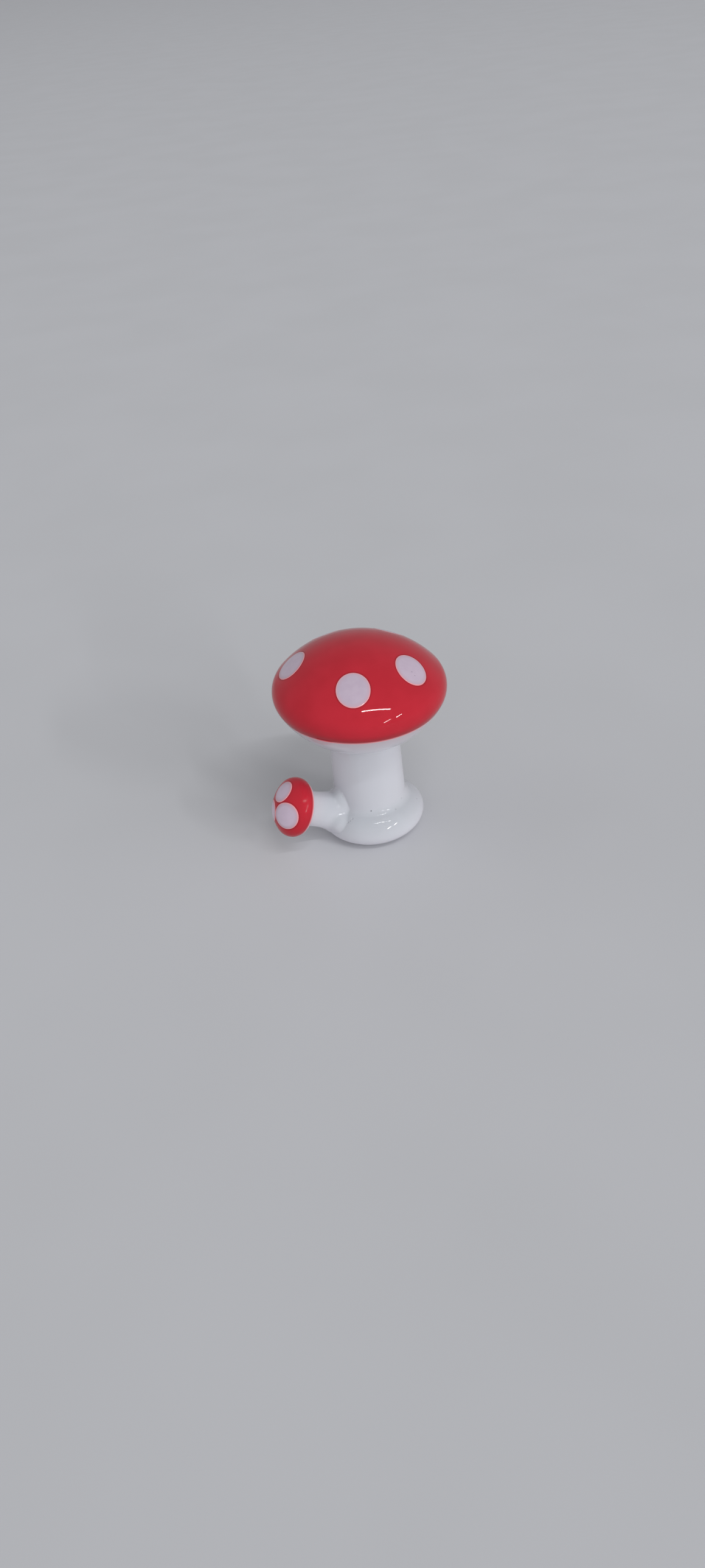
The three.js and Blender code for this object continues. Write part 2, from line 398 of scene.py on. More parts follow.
class Effects:
    """Effects that more than one glass shows, each built once."""

    CLOUD_ENDS = (0.3, 0.7)
    CLOUD_DETAIL = 2.0
    FINER = 3.1
    FINE_SHARE = 0.04
    MARK_CORE = 0.45
    PAINTED_GLOW_GAIN = 0.62

    def __init__(self) -> None:
        """Builds the groups."""
        self.cloud = self._cloud()
        self.ripple = self._ripple()
        self.axis = self._axis()
        self.spot = self._spot()
        self.glow = self._glow()

    @staticmethod
    def _cloud() -> Tree:
        """Soft clouds of uneven colour, Size millimetres across.

        Returns:
            The group.
        """
        sockets = (("Point", "Vector"), ("Size", "Float"))
        tree, board, entry, leave = effect("cloud", sockets, ("Mask",))
        scale = board.maths("DIVIDE", 1.0, entry.outputs["Size"])
        inputs = {"Vector": entry.outputs["Point"], "Scale": scale}
        inputs["Detail"] = Effects.CLOUD_DETAIL
        noise = board.add("TexNoise", inputs).outputs[0]
        tree.links.new(board.fade(noise, *Effects.CLOUD_ENDS), leave.inputs["Mask"])
        return tree

    @staticmethod
    def _ripple() -> Tree:
        """Slow waves that the flame leaves in a surface, Size millimetres apart.

        Returns:
            The group.
        """
        sockets = (("Point", "Vector"), ("Size", "Float"))
        tree, board, entry, leave = effect("ripple", sockets, ("Height",))
        scale = board.maths("DIVIDE", 1.0, entry.outputs["Size"])
        finer = board.maths("MULTIPLY", scale, Effects.FINER)
        slow, fine = (
            board.add("TexNoise", {"Vector": entry.outputs["Point"], "Scale": s, "Detail": 0.0})
            for s in (scale, finer)
        )
        small = board.maths("MULTIPLY", fine.outputs[0], Effects.FINE_SHARE)
        tree.links.new(board.maths("ADD", slow.outputs[0], small), leave.inputs["Height"])
        return tree

    @staticmethod
    def _axis() -> Tree:
        """Height along an axis from an origin on it.

        Returns:
            The group.
        """
        sockets = (("Point", "Vector"), ("Origin", "Vector"), ("Axis", "Vector"))
        tree, board, entry, leave = effect("axis", sockets, ("Height",))
        ends = {0: entry.outputs["Point"], 1: entry.outputs["Origin"]}
        away = board.add("VectorMath", ends, operation="SUBTRACT").outputs[0]
        pair = {0: away, 1: entry.outputs["Axis"]}
        along = board.add("VectorMath", pair, operation="DOT_PRODUCT")
        tree.links.new(along.outputs["Value"], leave.inputs["Height"])
        return tree

    @staticmethod
    def _spot() -> Tree:
        """A soft round mark, and how far a point lies outside its border.

        Returns:
            The group.
        """
        sockets = (("Point", "Vector"), ("Centre", "Vector"), ("Radius", "Float"))
        tree, board, entry, leave = effect("spot", sockets, ("Mask", "Outside"))
        ends = {0: entry.outputs["Point"], 1: entry.outputs["Centre"]}
        gap = board.add("VectorMath", ends, operation="DISTANCE").outputs["Value"]
        outside = board.maths("SUBTRACT", gap, entry.outputs["Radius"])
        share = board.maths("DIVIDE", gap, entry.outputs["Radius"])
        tree.links.new(board.fade(share, 1.0, Effects.MARK_CORE), leave.inputs["Mask"])
        tree.links.new(outside, leave.inputs["Outside"])
        return tree

    @staticmethod
    def _glow() -> Tree:
        """Share of painted glow: base colour lightened on sides that face away from Shine, standing
        in for light through the glass.

        Returns:
            The group.
        """
        tree, board, entry, leave = effect("glow", (("Shine", "Vector"),), ("Mask",))
        sides = {0: board.add("TexCoord").outputs["Normal"], 1: entry.outputs["Shine"]}
        facing = board.add("VectorMath", sides, operation="DOT_PRODUCT").outputs["Value"]
        away = board.maths("SUBTRACT", 1.0, facing)
        share = board.maths("MULTIPLY", away, Effects.PAINTED_GLOW_GAIN, clamp=True)
        tree.links.new(share, leave.inputs["Mask"])
        return tree


# Finishes


@dataclass(frozen=True)
class Mark:
    """A small flaw in the glass: a speck of dirt or a pit."""

    centre: Triple
    radius: float


@dataclass(frozen=True)
class Border:
    """The oval border of a dot: its frame on the dome and its stretch."""

    centre: Triple
    turn: Triple
    stretch: Triple
    radius: float


@dataclass(frozen=True)
class Reach:
    """A stretch along an axis, over which an effect grows from nothing to full."""

    origin: Triple
    axis: Triple
    start: float
    full: float

    @classmethod
    def up(cls, frame: Matrix, start: float, full: float) -> Reach:
        """A stretch of a frame's +Z axis."""
        return cls(tuple(frame.translation), tuple(frame.to_3x3() @ UP), start, full)


@dataclass(frozen=True)
class Surface:
    """Gloss of a glass, the smears that dull it, and slow waves in it, their depth in metres."""

    gloss: float
    rough: float
    smear: float
    smear_size: float
    wave_size: float
    wave: float = 1.2e-5
    pit: float = 2.5


class Dressing(Board):
    """The board of one finish, with the shared effects and the place on the piece."""

    def __init__(self, name: str, effects: Effects) -> None:
        """Starts the material, and puts out the place in millimetres.

        Args:
            name: The material's name.
            effects: The shared effects.
        """
        self.material = bpy.data.materials.new(name)
        self.material.use_nodes = True
        super().__init__(self.material.node_tree)
        self.effects = effects
        where = {0: self.add("TexCoord").outputs["Object"], "Scale": 1.0 / MM}
        self.here = self.add("VectorMath", where, operation="SCALE").outputs[0]

    def cloud(self, size: float, point: Any = None) -> Socket:
        """Mask of soft clouds, at the place on the piece or at another point."""
        point = self.here if point is None else point
        return self.group(self.effects.cloud, Point=point, Size=size).outputs["Mask"]

    def glow(self, shine: Triple) -> Socket:
        """Share of painted glow, on sides turned away from the shine."""
        return self.group(self.effects.glow, Shine=shine).outputs["Mask"]

    def mark(self, mark: Mark) -> Socket:
        """Mask of a small flaw."""
        sizes = {"Centre": mark.centre, "Radius": mark.radius}
        return self.group(self.effects.spot, Point=self.here, **sizes).outputs["Mask"]

    def height(self, reach: Reach) -> Socket:
        """Height along a stretch's axis."""
        ends = {"Origin": reach.origin, "Axis": reach.axis}
        return self.group(self.effects.axis, Point=self.here, **ends).outputs["Height"]

    def grown(self, reach: Reach) -> Socket:
        """Share that grows along a stretch."""
        return self.fade(self.height(reach), reach.start, reach.full)

    def specked(self, colour: Any, specks: Sequence[Mark], dirt: Colour) -> Any:
        """Lays specks of dirt over a colour.

        Args:
            colour: The colour's socket.
            specks: Where the specks are.
            dirt: Their colour.

        Returns:
            The colour with the specks on it.
        """
        for speck in specks:
            colour = self.tint(self.mark(speck), colour, dirt)
        return colour

    def shade(self, inputs: dict[str, Any]) -> Material:
        """Ends the material in a shader with these inputs.

        Args:
            inputs: Value or feeding socket of each input of the shader.

        Returns:
            The material.
        """
        shader = self.add("BsdfPrincipled", inputs)
        self.add("OutputMaterial", {"Surface": shader.outputs[0]})
        return self.material

    def polish(self, colour: Any, surface: Surface, pits: Sequence[Mark] = ()) -> Material:
        """Ends the material as glossy glass.

        Args:
            colour: Base colour socket.
            surface: Gloss, smears and waves.
            pits: Small pits in the surface.

        Returns:
            The material.
        """
        smear = self.cloud(surface.smear_size)
        rough = self.maths("MULTIPLY_ADD", smear, surface.smear, surface.rough)
        waves = self.group(self.effects.ripple, Point=self.here, Size=surface.wave_size)
        relief = waves.outputs["Height"]
        for pit in pits:
            depth = self.maths("MULTIPLY", self.mark(pit), surface.pit)
            relief = self.maths("SUBTRACT", relief, depth)
        bump = self.add("Bump", {"Strength": 1.0, "Distance": surface.wave, "Height": relief})
        inputs = {"Base Color": colour, "Roughness": rough, "Normal": bump.outputs[0]}
        return self.shade({**inputs, "Specular IOR Level": surface.gloss})


@dataclass(frozen=True)
class OpalGlass:
    """Milk-white glass with faint streaks, painted glow on sides turned from the light, painted
    pink light beside the red, and the flaws of hand work.
    """

    title: str = Slot.OPAL.value
    white: Colour = (0.452, 0.473, 0.514)
    grey: Colour = (0.437, 0.456, 0.493)
    # Colour of the painted glow, for sides turned away from the light.
    glow: Colour = (0.785, 0.76, 0.825)
    shine: Triple = (0.0, -0.55, 0.83)
    painted_pink: Colour = (0.59, 0.48, 0.525)
    dirt: Colour = (0.03, 0.03, 0.035)
    thin: Reach | None = None
    thin_white: Colour = (0.428, 0.448, 0.487)
    thin_painted_glow: Colour = (0.87, 0.84, 0.91)
    thin_shine: Triple = (0.0, -0.76, 0.65)
    painted_red_lights: tuple[Reach, ...] = ()
    specks: tuple[Mark, ...] = ()
    pits: tuple[Mark, ...] = ()
    streak: float = 2.2
    drawn: Triple = (1.0, 1.0, 0.3)
    surface: Surface = Surface(gloss=0.25, rough=0.02, smear=0.03, smear_size=1.3, wave_size=3.4)

    def material(self, effects: Effects) -> Material:
        """Builds the material.

        Args:
            effects: The shared effects.

        Returns:
            The material.
        """
        board = Dressing(self.title, effects)
        drawn = board.add("Mapping", {"Vector": board.here, "Scale": self.drawn}).outputs[0]
        colour = board.tint(board.cloud(self.streak, drawn), self.white, self.grey)
        # Painted glow: the base colour is lighter on sides turned away from the light.
        colour = board.tint(board.glow(self.shine), colour, self.glow)
        # On the thin sprout stem a stronger painted glow of its own takes over.
        if self.thin:
            thin = board.tint(board.glow(self.thin_shine), self.thin_white, self.thin_painted_glow)
            colour = board.tint(board.grown(self.thin), colour, thin)
        # Painted pink light near the red, as though the red glass lit the white.
        for painted_red_light in self.painted_red_lights:
            colour = board.tint(board.grown(painted_red_light), colour, self.painted_pink)
        colour = board.specked(colour, self.specks, self.dirt)
        return board.polish(colour, self.surface, self.pits)


@dataclass(frozen=True)
class RedGlass:
    """Clear red over white: darker round the dots and in a band above its lower edge, with a
    painted highlight along that edge.
    """

    name: str
    edge: Reach
    dots: tuple[Border, ...]
    red: Colour = (0.48, 0.0195, 0.0345)
    deep: Colour = (0.438, 0.0165, 0.0295)
    dark: Colour = (0.187, 0.005, 0.01)
    pale: Colour = (0.86, 0.33, 0.365)
    uneven: float = 3.0
    band: float = 1.1
    band_share: float = 0.45
    halo: Point = (0.22, 0.02)
    halo_share: float = 0.35
    surface: Surface = Surface(gloss=0.22, rough=0.015, smear=0.02, smear_size=1.7, wave_size=4.2)

    def material(self, effects: Effects) -> Material:
        """Builds the material.

        Args:
            effects: The shared effects.

        Returns:
            The material.
        """
        board = Dressing(self.name, effects)
        colour = board.tint(board.cloud(self.uneven), self.red, self.deep)
        # Darker in a band above the lower edge.
        height, low = board.height(self.edge), self.edge.start
        band = board.maths("MULTIPLY", board.fade(height, low + self.band, low), self.band_share)
        colour = board.tint(band, colour, self.dark)
        # Darker red just outside each dot's border: the red lies deeper there, and painted shade of
        # the groove round the dot.
        near = board.fade(self._outside(board), *self.halo)
        colour = board.tint(board.maths("MULTIPLY", near, self.halo_share), colour, self.dark)
        # Painted highlight: a pale line along the red's lower edge.
        colour = board.tint(board.fade(height, self.edge.full, low), colour, self.pale)
        return board.polish(colour, self.surface)

    def _outside(self, board: Dressing) -> Any:
        """Puts out the distance from the closest dot's border.

        Args:
            board: The finish's board.

        Returns:
            The socket.
        """
        outside: Any = None
        for dot in self.dots:
            oval = {"Location": dot.centre, "Rotation": dot.turn, "Scale": dot.stretch}
            local = board.add("Mapping", {"Vector": board.here, **oval}, vector_type="TEXTURE")
            spot = board.group(board.effects.spot, Point=local.outputs[0], Radius=dot.radius)
            ring = spot.outputs["Outside"]
            outside = ring if outside is None else board.maths("MINIMUM", outside, ring)
        return outside


@dataclass(frozen=True)
class DotGlass:
    """Lilac-white dots with painted glow on sides turned from the light, and red shining through a
    thin line along the border.
    """

    lilac: Colour = (0.487, 0.402, 0.498)
    shade: Colour = (0.463, 0.378, 0.475)
    rosy: Colour = (0.5, 0.36, 0.44)
    # Colour of the painted glow, for sides turned away from the light.
    glow: Colour = (0.83, 0.68, 0.83)
    shine: Triple = (0.0, -0.55, 0.83)
    line: Colour = (0.76, 0.31, 0.345)
    dirt: Colour = (0.10, 0.08, 0.11)
    specks: tuple[Mark, ...] = ()
    mottle: float = 0.7
    rosy_ends: Point = (0.5, 0.08)
    line_ends: Point = (0.12, 0.05)
    surface: Surface = Surface(
        gloss=0.5, rough=0.06, smear=0.04, smear_size=0.7, wave_size=1.6, wave=6e-6
    )

    def material(self, effects: Effects) -> Material:
        """Builds the material.

        Args:
            effects: The shared effects.

        Returns:
            The material.
        """
        board = Dressing(Slot.DOT.value, effects)
        colour = board.tint(board.cloud(self.mottle), self.lilac, self.shade)
        # Painted glow: the base colour is lighter on sides turned away from the light.
        colour = board.tint(board.glow(self.shine), colour, self.glow)
        inset = board.add("Attribute", attribute_name=INSET).outputs["Fac"]
        colour = board.tint(board.fade(inset, *self.rosy_ends), colour, self.rosy)
        colour = board.tint(board.fade(inset, *self.line_ends), colour, self.line)
        colour = board.specked(colour, self.specks, self.dirt)
        return board.polish(colour, self.surface)


@dataclass(frozen=True)
class PaleFloor:
    """A plain pale surface under the ornament."""

    name: str = "pale_floor"
    pale: Colour = (0.565, 0.574, 0.606)
    other: Colour = (0.552, 0.561, 0.591)
    uneven: float = 25.0
    rough: float = 0.6
    gloss: float = 0.2

    def material(self, effects: Effects) -> Material:
        """Builds the material.

        Args:
            effects: The shared effects.

        Returns:
            The material.
        """
        board = Dressing(self.name, effects)
        colour = board.tint(board.cloud(self.uneven), self.pale, self.other)
        inputs = {"Base Color": colour, "Roughness": self.rough}
        return board.shade({**inputs, "Specular IOR Level": self.gloss})


# The ornament


@dataclass
class Body:
    """The foot and the stem: a round gather with a small flat, and a rod that flares onto it.

    The shoulder falls away by the lean from a hinge in front, and the stem's base stands aside by
    the shift, each up to its end height.
    """

    foot_radius: float = 5.31
    flat_radius: float = 2.51
    widest: float = 1.75
    shoulder: float = 3.0
    crown: float = 2.33
    seat_turn: float = 51.8
    stem_top: float = 3.45
    flare: float = 1.1
    neck: float = 0.6
    lean: float = 0.055
    hinge: float = 4.31
    lean_end: float = 9.0
    shift: float = -0.18
    shift_end: float = 13.0
    sunk: float = 0.14
    step: float = 0.09
    fine: float = 0.4
    dish_step: float = 0.4
    sides: int = 144
    foot_crease: float = 15.0

    @property
    def seat_slope(self) -> float:
        """Slope of the shoulder in degrees where the stem begins."""
        turn = math.radians(self.seat_turn)
        return math.degrees(math.atan2(self.shoulder * math.sin(turn), self.crown * math.cos(turn)))

    @property
    def seat_height(self) -> float:
        """Height at which the stem stands on the foot."""
        return self.widest + self.crown * math.sin(math.radians(self.seat_turn))

    def foot_curve(self) -> list[Point]:
        """Outline of the foot from the flat up to the seat.

        Returns:
            Radius and height of each point.
        """
        reach = self.foot_radius - self.flat_radius
        under = arc((self.flat_radius, self.widest), reach, self.widest, -90, 0, self.step)
        middle = (self.foot_radius - self.shoulder, self.widest)
        return under + arc(middle, self.shoulder, self.crown, 0, self.seat_turn, self.step)[1:]

    def stem_curve(self, under: CapShape, ring_height: float) -> list[Point]:
        """Outline of the stem from the seat up to where its neck runs into the cap.

        Args:
            under: The cap that it carries.
            ring_height: Height of that cap's widest ring.

        Returns:
            The points.
        """
        slope = math.radians(self.seat_slope)
        seat = self.foot_curve()[-1]
        middle = (seat[0] + self.flare * math.cos(slope), seat[1] + self.flare * math.sin(slope))
        turn, step = 180 + self.seat_slope, self.step * self.fine
        flare = arc(middle, self.flare, self.flare, turn, 180, step)
        ball = under.arcs()[0]
        reach = self.stem_top + self.neck
        level = ring_height + ball.centre[1] - math.sqrt(ball.radius**2 - reach**2)
        end = 90 + math.degrees(math.asin(reach / ball.radius))
        return flare + arc((reach, level - self.neck), self.neck, self.neck, 180, end, self.step)

    def sagged(self, piece: Piece) -> Piece:
        """Lets the shoulder fall away to the back, as the glass sagged, and shifts the stem's base.

        Args:
            piece: The foot, the stem or a tool of their shape, in millimetres.

        Returns:
            The same piece.
        """
        top = self.seat_height
        for point in piece.data.vertices:
            _, depth, height = point.co
            left = (self.lean_end - height) / (self.lean_end - top - self.flare)
            share = smooth(height, self.widest, top) * min(1.0, max(0.0, left))
            aside = smooth(height, top, top + 2 * self.flare)
            point.co.x += self.shift * (aside * (1.0 - smooth(height, top, self.shift_end)))
            point.co.z -= self.lean * share * (depth + self.hinge)
        return piece

    def build(self, cap: Cap, finish: Material) -> None:
        """Turns the foot and the stem.

        Args:
            cap: The cap on the stem.
            finish: The opal glass.
        """
        seat = self.seat_height
        foot = turned(f"foot{GLASS}", [(0.0, 0.0), *self.foot_curve(), (0.0, seat)], self.sides)
        settle(self.sagged(foot), finish, self.foot_crease)
        curve = self.stem_curve(cap.shape, cap.ring_height)
        ball = cap.shape.arcs()[0]
        sunk = ball.radius - self.sunk
        turn = math.degrees(math.asin(curve[-1][0] / sunk)) - 90
        dish = arc((0.0, cap.ring_height + ball.centre[1]), sunk, sunk, turn, -90, self.dish_step)
        stem = turned(f"stem{GLASS}", [(0.0, seat), *curve, *dish], self.sides)
        settle(self.sagged(stem), finish)

    def filled(self, name: str, sink: float, bottom: float, cap: Cap) -> Piece:
        """Foot and stem as one cutting tool.

        Args:
            name: The tool's name.
            sink: How far its surface lies inside the real one.
            bottom: Height at which it ends below.
            cap: The cap on the stem.

        Returns:
            The tool, in millimetres.
        """
        outline = self.foot_curve() + self.stem_curve(cap.shape, cap.ring_height)[1:]
        moved = []
        for before, after in pairwise(outline):
            along = Vector((after[0] - before[0], after[1] - before[1])).normalized()
            moved.append((before[0] - sink * along.y, before[1] + sink * along.x))
        moved[0] = (moved[0][0], bottom)
        closed = [(0.0, bottom), *moved, (0.0, moved[-1][1])]
        return self.sagged(turned(name, closed, TOOL_SIDES))


@dataclass(frozen=True)
class Round:
    """One arc of a cap's outline, between two slopes in degrees."""

    centre: Point
    radius: float
    low: float
    high: float


@dataclass(frozen=True)
class CapShape:
    """Underside, rim and dome of a cap: three arcs that meet smoothly, widest at height 0."""

    radius: float
    rise: float
    drop: float
    rim: float
    red_edge: float
    wall: float
    dot_depth: float
    dot_proud: float

    def arcs(self) -> list[Round]:
        """The three arcs, from below upwards.

        Returns:
            Underside, rim and dome.
        """
        inner = self.radius - self.rim

        def ball(height: float) -> float:
            """Radius of the ball that joins the rim and reaches this height."""
            return (inner**2 + height**2 - self.rim**2) / (2 * (height - self.rim))

        under, dome = ball(self.drop), ball(self.rise)
        low = -math.degrees(math.atan2(under - self.drop, inner))
        high = math.degrees(math.atan2(dome - self.rise, inner))
        return [
            Round((0.0, under - self.drop), under, -90.0, low),
            Round((inner, 0.0), self.rim, low, high),
            Round((0.0, self.rise - dome), dome, high, 90.0),
        ]

    def outline(self, offset: float, low: float, high: float, step: float) -> list[Point]:
        """Outline between two slopes, from below upwards.

        Args:
            offset: How far it is moved outwards.
            low: First slope in degrees.
            high: Last slope in degrees.
            step: Longest distance between points.

        Returns:
            The points.
        """
        points: list[Point] = []
        for part in self.arcs():
            start, end = max(low, part.low), min(high, part.high)
            if start < end:
                radius = part.radius + offset
                points += arc(part.centre, radius, radius, start, end, step)[1 if points else 0 :]
        return points


@dataclass(frozen=True)
class DotPlace:
    """A dot's turn round the cap, its slope away from the top, its radius, and how oval it is.

    The long axis lies at the twist, in degrees from the way down the slope.
    """

    turn: float
    slope: float
    radius: float
    long: float = 1.0
    short: float = 1.0
    twist: float = 0.0

    def seat(self, dome: Round) -> Matrix:
        """Where a dot that is modelled on top of the dome's ball goes.

        Args:
            dome: The arc of the cap's top.

        Returns:
            The placement in the cap's frame.
        """
        tip = Matrix.Rotation(math.radians(self.slope), 4, "Y")
        swing = Matrix.Rotation(math.radians(self.turn), 4, "Z")
        return Matrix.Translation((0, 0, dome.centre[1])) @ swing @ tip

    def ovaled(self, piece: Piece) -> Piece:
        """Draws a round piece on top of the dome's ball out into this dot's oval.

        Args:
            piece: A dot or a pocket's tool, before it is put in place.

        Returns:
            The same piece.
        """
        for point in piece.data.vertices:
            x, y, z = point.co
            turn = math.atan2(y, x)
            bend = turn - math.radians(self.twist)
            draw = 1.0 / math.hypot(math.cos(bend) / self.long, math.sin(bend) / self.short)
            lean, far = math.atan2(math.hypot(x, y), z) * draw, point.co.length
            side = far * math.sin(lean)
            point.co = (side * math.cos(turn), side * math.sin(turn), far * math.cos(lean))
        return piece


@dataclass
class Cap:
    """A white core cased in red, with dots pressed flush into the red."""

    title: str
    shape: CapShape
    dots: tuple[DotPlace, ...]
    placement: Matrix
    step: float
    sides: int
    ring_height: float = 0.0
    gap: float = 0.012
    # Width of the painted highlight along the red's lower edge.
    painted_highlight_width: float = 0.28
    inner_step: int = 3
    pocket_rise: float = 0.5
    pocket_step: float = 0.3
    dot_round: float = 0.05
    dot_turns: tuple[float, ...] = (0.0, 22.5, 45.0, 67.5)
    dot_steps: Point = (0.2, 0.06)
    dot_crease: float = 50.0

    @property
    def dome(self) -> Round:
        """The arc of the top, which carries the dots."""
        return self.shape.arcs()[-1]

    def edge(self) -> Reach:
        """The stretch above the red's lower edge."""
        low = self.shape.outline(0.0, -self.shape.red_edge, 90.0, self.step)[0][1]
        return Reach.up(self.placement, low, low + self.painted_highlight_width)

    def borders(self) -> tuple[Border, ...]:
        """Frame and stretch of each dot on the dome, as the shader measures them.

        Returns:
            A border for each dot, in their order.
        """
        dome = self.dome
        borders = []
        for dot in self.dots:
            twist = Matrix.Rotation(math.radians(dot.twist), 4, "Z")
            seat = self.placement @ dot.seat(dome) @ twist
            centre = tuple(seat @ Vector((0, 0, dome.radius)))
            half = math.asin(dot.radius / dome.radius) / 2
            width = 2 * dome.radius * math.sin(half)
            stretch = (dot.long, dot.short, 1.0)
            borders.append(Border(centre, tuple(seat.to_euler()), stretch, width))
        return tuple(borders)

    def _inside(self) -> list[Point]:
        """Outline where core and casing meet, from the red's lower edge upwards."""
        shape, step = self.shape, self.step * self.inner_step
        return shape.outline(-shape.wall, -shape.red_edge, 90.0, step)

    def _core(self) -> Piece:
        """Turns the core, flush with the red along the underside.

        Returns:
            The core, in the cap's frame.
        """
        shape = self.shape
        below = shape.outline(0.0, -90.0, -shape.red_edge, self.step)
        above = self._inside()
        return turned(f"{self.title}_core{GLASS}", below + above, self.sides)

    def _casing(self) -> Piece:
        """Turns the red casing and cuts a pocket for each dot.

        Returns:
            The casing, in the cap's frame.
        """
        shape = self.shape
        outside = shape.outline(0.0, -shape.red_edge, 90.0, self.step)
        casing = turned(f"{self.title}_casing{GLASS}", self._inside()[::-1] + outside, self.sides)
        for dot in self.dots:
            cut(casing, self._pocket(dot), Cut.REMOVE)
        return casing

    def _pocket(self, dot: DotPlace) -> Piece:
        """Turns the tool that cuts one pocket.

        Args:
            dot: The dot that the pocket takes.

        Returns:
            The tool, in the cap's frame.
        """
        dome = self.dome
        half = math.degrees(math.asin((dot.radius + self.gap) / dome.radius))
        floor = dome.radius - self.shape.dot_depth - self.gap
        top = dome.radius + self.pocket_rise
        outline = arc((0.0, 0.0), floor, floor, 90, 90 - half, self.pocket_step)
        outline += arc((0.0, 0.0), top, top, 90 - half, 90, self.pocket_step)
        tool = dot.ovaled(turned("pocket", outline, TOOL_SIDES))
        place(tool, dot.seat(dome))
        return tool

    def _dot(self, radius: float) -> Piece:
        """Turns one dot on top of the dome's ball, with a fine round along its border.

        Args:
            radius: The dot's radius.

        Returns:
            The dot, with its distance from the border kept on each point.
        """
        dome, fine = self.dome, self.dot_round
        top, floor = dome.radius + self.shape.dot_proud, dome.radius - self.shape.dot_depth
        half = math.degrees(math.asin(radius / dome.radius))
        soft = math.degrees(fine / dome.radius)
        below, above = self.dot_steps
        outline = arc((0.0, 0.0), floor, floor, 90, 90 - half, below)
        for turn in self.dot_turns:
            bend = math.radians(turn)
            reach = top - fine + fine * math.sin(bend)
            side = math.radians(90 - half + soft * (1 - math.cos(bend)))
            outline.append((reach * math.cos(side), reach * math.sin(side)))
        outline += arc((0.0, 0.0), top, top, 90 - half + soft, 90, above)
        piece = turned("dot", outline, TOOL_SIDES)
        inset = piece.data.attributes.new(INSET, "FLOAT", "POINT")
        away = [radius - math.hypot(point.co.x, point.co.y) for point in piece.data.vertices]
        inset.data.foreach_set("value", away)
        return piece

    def build(self, opal: Material, red: Material, white: Material) -> None:
        """Builds core, casing and dots and settles them.

        Args:
            opal: Finish of the core.
            red: Finish of the casing.
            white: Finish of the dots.
        """
        turnings = ((self._core(), opal, Slot.OPAL), (self._casing(), red, Slot.RED))
        for piece, finish, slot in turnings:
            place(piece, self.placement)
            settle(piece, finish)
        models: dict[float, Piece] = {}
        for number, dot in enumerate(self.dots, 1):
            if dot.radius not in models:
                models[dot.radius] = self._dot(dot.radius)
            piece = copied(models[dot.radius], f"{self.title}_dot_{number}{GLASS}")
            place(dot.ovaled(piece), self.placement @ dot.seat(self.dome))
            settle(piece, white, self.dot_crease)
        for model in models.values():
            bpy.data.objects.remove(model, do_unlink=True)


class Skin:
    """A mesh's surface, kept to measure from after the mesh has changed."""

    def __init__(self, mesh: Mesh) -> None:
        """Keeps the mesh's points, normals and faces.

        Args:
            mesh: The mesh as it is now.
        """
        self.points = [point.co.copy() for point in mesh.vertices]
        self.normals = [point.normal.copy() for point in mesh.vertices]
        self.faces = [tuple(face.vertices) for face in mesh.polygons]
        self.tree = BVHTree.FromPolygons(self.points, self.faces)

    def away(self, place: Vector) -> float:
        """Distance of a place from the surface."""
        return self.tree.find_nearest(place)[3]

    def height(self, place: Vector) -> float:
        """Distance of a place above the surface, below 0 inside it."""
        spot, normal, _, gap = self.tree.find_nearest(place)
        return math.copysign(gap, (place - spot).dot(normal))

    def normal(self, place: Vector) -> Vector:
        """The surface's smooth normal where it is closest to a place.

        Args:
            place: The place.

        Returns:
            The normal, of length 1.
        """
        spot, _, index, _ = self.tree.find_nearest(place)
        face = self.faces[index]
        shares = poly_3d_calc([self.points[i] for i in face], spot)
        parts = (self.normals[i] * share for i, share in zip(face, shares))
        return sum(parts, Vector()).normalized()


